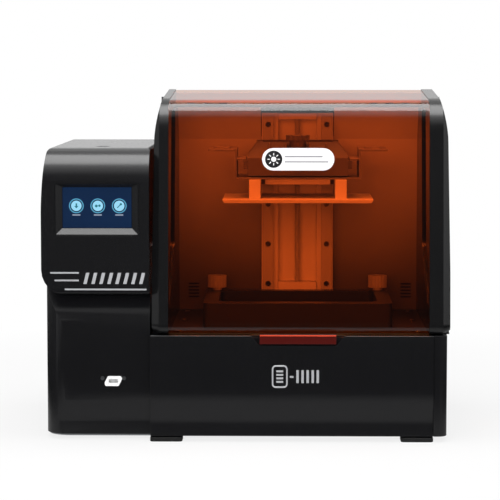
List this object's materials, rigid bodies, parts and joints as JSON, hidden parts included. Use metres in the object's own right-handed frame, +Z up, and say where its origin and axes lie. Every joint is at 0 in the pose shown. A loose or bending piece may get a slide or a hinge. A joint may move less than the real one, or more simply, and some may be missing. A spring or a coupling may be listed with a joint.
{
  "type": "resin printer",
  "caption": "Desktop resin printer with a control tower, a flip-up amber cover, a Z axis carrying a build platform, a lift-out vat and an exposure screen in the deck.",
  "frame": {"origin": "middle of the bounding box's base, at the height the feet stand on", "axes": "+X to the machine's right seen from its front, +Y to its back, +Z up; the front faces -Y"},
  "size_m": [0.565, 0.365, 0.4855],
  "materials": {
    "black_plastic": "satin moulded ABS",
    "amber_acrylic": "clear amber tinted acrylic, polished",
    "red_acrylic": "deep red acrylic, polished",
    "black_sheet": "powder coated steel sheet",
    "steel": "plain",
    "aluminium": "clear anodised, brushed",
    "dark_aluminium": "black anodised",
    "rubber": "moulded",
    "screen_glass": "polished glass front",
    "lcd_glass": "polished",
    "white_plastic": "moulded",
    "circuit_board": "solder resist",
    "bronze": "machined",
    "clear_film": "clear fluoropolymer film",
    "lens_acrylic": "clear moulded lenses"
  },
  "bodies": {
    "housing": {"base_pan": "steel", "base_front_panel": "black_plastic", "base_right_panel": "black_plastic", "feet": "rubber", "deck_plate": "black_sheet", "socket_screws": "steel", "rear_panel": "black_sheet", "rear_roof": "black_plastic", "cheek_left": "black_plastic", "cheek_right": "black_plastic", "chamber_back_wall": "black_sheet", "tower_shell": "black_plastic", "screen_bezel": "black_plastic", "touch_screen": "screen_glass", "button_ring": "black_plastic", "usb_port": "white_plastic", "usb_port_screws": "steel", "control_board": "circuit_board", "power_supply": "steel", "power_inlet": "black_plastic", "column": "aluminium", "guide_rails": "aluminium", "bearing_blocks": "dark_aluminium", "z_motor": "dark_aluminium", "lcd_screen": "lcd_glass", "light_box": "steel", "lens_panel": "lens_acrylic", "led_board": "circuit_board", "heat_sink": "aluminium", "led_fan_frame": "black_plastic", "exhaust_fan_frame": "black_plastic", "hinge_fixed_leaves": "steel", "hinge_pins": "steel"},
    "cover": {"cover_frame_left": "black_plastic", "cover_frame_right": "black_plastic", "cover_rear_bar": "aluminium", "cover_front_pane": "amber_acrylic", "cover_top_pane": "amber_acrylic", "cover_side_panes": "amber_acrylic", "cover_handle": "red_acrylic", "cover_label": "white_plastic", "hinge_moving_leaves": "steel"},
    "screw": {"lead_screw": "steel", "shaft_coupling": "aluminium"},
    "carriage": {"guide_blocks": "steel", "carriage_plate": "dark_aluminium", "screw_nut": "bronze", "support_arm": "dark_aluminium"},
    "platform": {"platform_bracket": "steel", "platform_posts": "aluminium", "build_platform": "aluminium"},
    "platform_knob": {"platform_knob": "black_plastic"},
    "vat": {"vat_frame": "dark_aluminium", "vat_film": "clear_film"},
    "vat_knob_left": {"vat_knob_left": "aluminium"},
    "vat_knob_right": {"vat_knob_right": "aluminium"},
    "power_button": {"power_button": "black_plastic"},
    "rocker": {"rocker_switch": "black_plastic"},
    "led_fan_rotor": {"led_fan_rotor": "black_plastic"},
    "exhaust_fan_rotor": {"exhaust_fan_rotor": "black_plastic"}
  },
  "joints": [
    {"name": "cover_hinge", "type": "hinge", "parent": "housing", "child": "cover", "pos_m": [0.072, 0.073, 0.474], "axis": [-1, 0, 0], "range_deg": [0, 80]},
    {"name": "carriage_slide", "type": "slide", "parent": "housing", "child": "carriage", "axis": [0, 0, 1], "range_m": [-0.172, 0.028]},
    {"name": "screw_spin", "type": "hinge", "parent": "housing", "child": "screw", "pos_m": [0.072, 0.1305, 0.3], "axis": [0, 0, 1], "continuous": true},
    {"name": "platform_pull", "type": "slide", "parent": "carriage", "child": "platform", "axis": [0, -1, 0], "range_m": [0, 0.07]},
    {"name": "platform_knob_spin", "type": "hinge", "parent": "carriage", "child": "platform_knob", "pos_m": [0.072, 0, 0.415], "axis": [0, 0, 1], "continuous": true},
    {"name": "vat_lift", "type": "slide", "parent": "housing", "child": "vat", "axis": [0, 0, 1], "range_m": [0, 0.06]},
    {"name": "vat_knob_left_spin", "type": "hinge", "parent": "vat", "child": "vat_knob_left", "pos_m": [-0.048, 0.085, 0.195], "axis": [0, 0, 1], "continuous": true},
    {"name": "vat_knob_right_spin", "type": "hinge", "parent": "vat", "child": "vat_knob_right", "pos_m": [0.192, 0.085, 0.195], "axis": [0, 0, 1], "continuous": true},
    {"name": "power_button_press", "type": "slide", "parent": "housing", "child": "power_button", "axis": [0, 0, -1], "range_m": [0, 0.0015], "stiffness_N_per_m": 600, "springref_m": -0.001},
    {"name": "rocker_tilt", "type": "hinge", "parent": "housing", "child": "rocker", "pos_m": [-0.166, 0.1735, 0.06], "axis": [1, 0, 0], "range_deg": [-8, 8]},
    {"name": "led_fan_spin", "type": "hinge", "parent": "housing", "child": "led_fan_rotor", "pos_m": [0.072, 0, 0.02], "axis": [0, 0, 1], "continuous": true},
    {"name": "exhaust_fan_spin", "type": "hinge", "parent": "housing", "child": "exhaust_fan_rotor", "pos_m": [0.184, 0.1705, 0.3], "axis": [0, 1, 0], "continuous": true}
  ],
  "couplings": [
    {"joint": "screw_spin", "follows": "carriage_slide", "rad_per_m": 1570.8}
  ]
}
